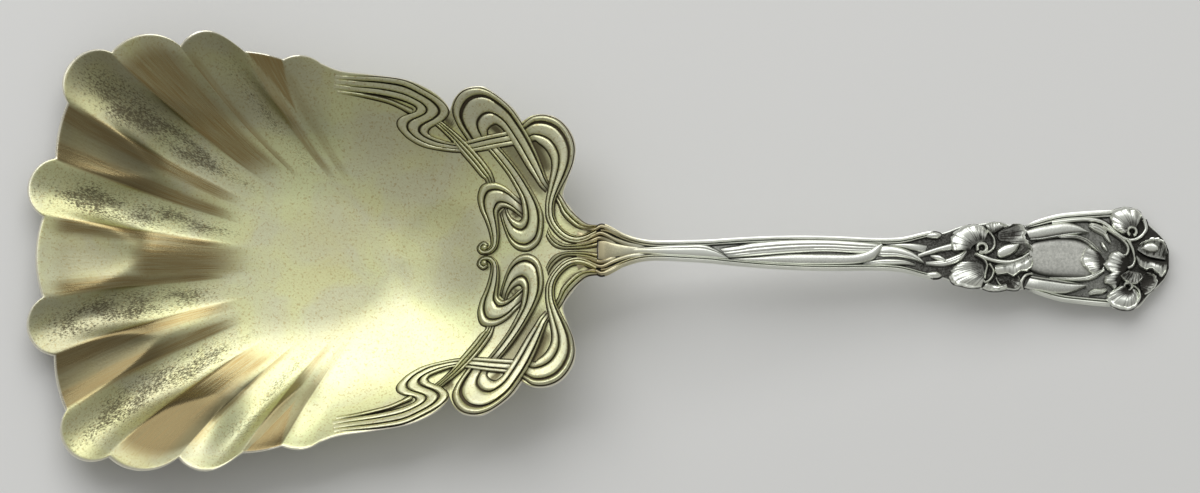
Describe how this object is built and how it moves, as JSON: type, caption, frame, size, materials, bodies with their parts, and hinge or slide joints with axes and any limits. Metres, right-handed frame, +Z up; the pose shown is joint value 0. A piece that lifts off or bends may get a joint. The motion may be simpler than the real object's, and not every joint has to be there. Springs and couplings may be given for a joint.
{
  "type": "serving spoon",
  "caption": "Wide serving spoon with a fluted, scalloped gilt bowl, ribbon scrollwork on its shoulders and a silver handle with leaf and iris relief.",
  "frame": {"origin": "on the table, under the middle of the spoon's length and width", "axes": "+X to the end of the handle, +Z up out of the bowl, +Y to the side that is at the top of the picture"},
  "size_m": [0.2286, 0.089, 0.016],
  "materials": {
    "gilt": "pale worn gilding over silver, satin, dark oxide in the grooves",
    "silver": "polished silver with black oxide left in the recesses of the relief",
    "solder": "thin brown line of silver solder"
  },
  "bodies": {
    "root": {"bowl": "gilt", "left_rim_ribbon": "gilt", "left_straight_band": "gilt", "left_top_loop": "gilt", "left_side_loop": "gilt", "left_hairpin": "gilt", "left_swan_curl": "gilt", "left_neck_wire": "gilt", "left_axis_wire": "gilt", "right_rim_ribbon": "gilt", "right_straight_band": "gilt", "right_top_loop": "gilt", "right_side_loop": "gilt", "right_hairpin": "gilt", "right_swan_curl": "gilt", "right_neck_wire": "gilt", "right_axis_wire": "gilt", "handle": "silver", "neck_leaf": "silver", "long_leaf": "silver", "curled_leaf": "silver", "bud_leaf": "silver", "iris_stem": "silver", "left_fall": "silver", "right_fall": "silver", "left_standard": "silver", "right_standard": "silver", "lower_bud": "silver", "long_sepal": "silver", "right_low_petal": "silver", "cartouche": "silver", "left_blade": "silver", "right_blade": "silver", "strap_leaf": "silver", "terminal_bud": "silver", "terminal_left_fall": "silver", "terminal_right_fall": "silver", "front_petal": "silver", "centre_petal": "silver", "end_standard": "silver", "end_low_petal": "silver", "left_edge_moulding": "silver", "left_terminal_reed": "silver", "right_edge_moulding": "silver", "right_terminal_reed": "silver", "solder_seam": "solder"}
  },
  "joints": []
}
